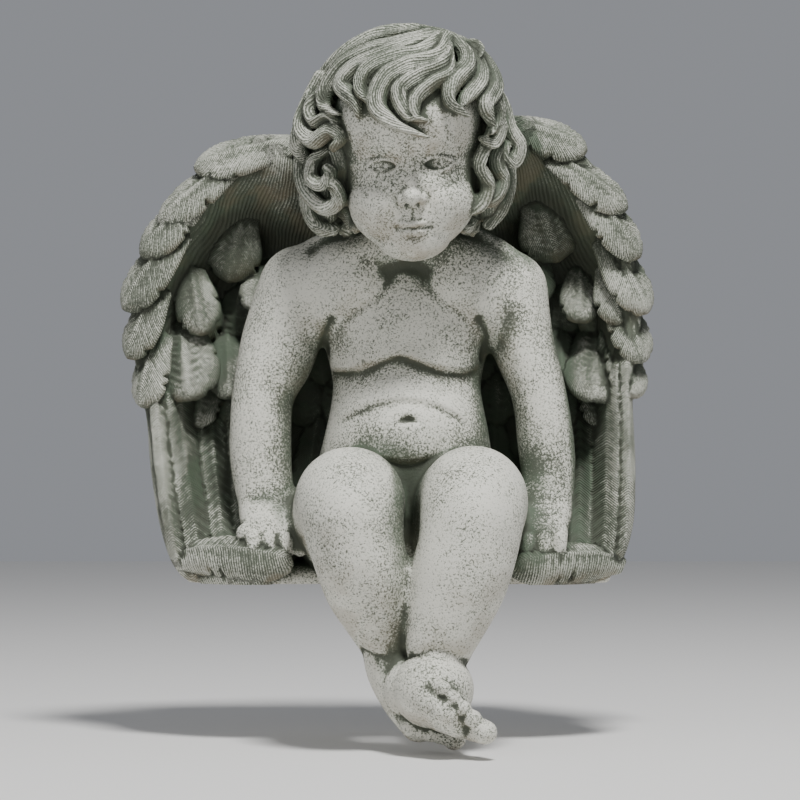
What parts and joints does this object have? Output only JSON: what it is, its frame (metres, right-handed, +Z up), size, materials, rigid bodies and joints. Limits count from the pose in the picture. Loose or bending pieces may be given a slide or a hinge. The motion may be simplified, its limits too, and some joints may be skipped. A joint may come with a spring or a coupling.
{
  "type": "stone putto statue",
  "caption": "Winged putto of cast stone that sits on the edge of a ledge with crossed ankles, hands resting on the curled tips of its feathered wings.",
  "frame": {"origin": "on the flat underside that rests on the ledge, between the hips", "axes": "+Z up, -Y the way the putto looks and its legs hang, +X to the right of someone who faces it"},
  "size_m": [0.3118, 0.1935, 0.4028],
  "materials": {
    "stone": "weathered cast stone with a grey-green patina"
  },
  "bodies": {
    "root": {"putto": "stone"}
  },
  "joints": []
}
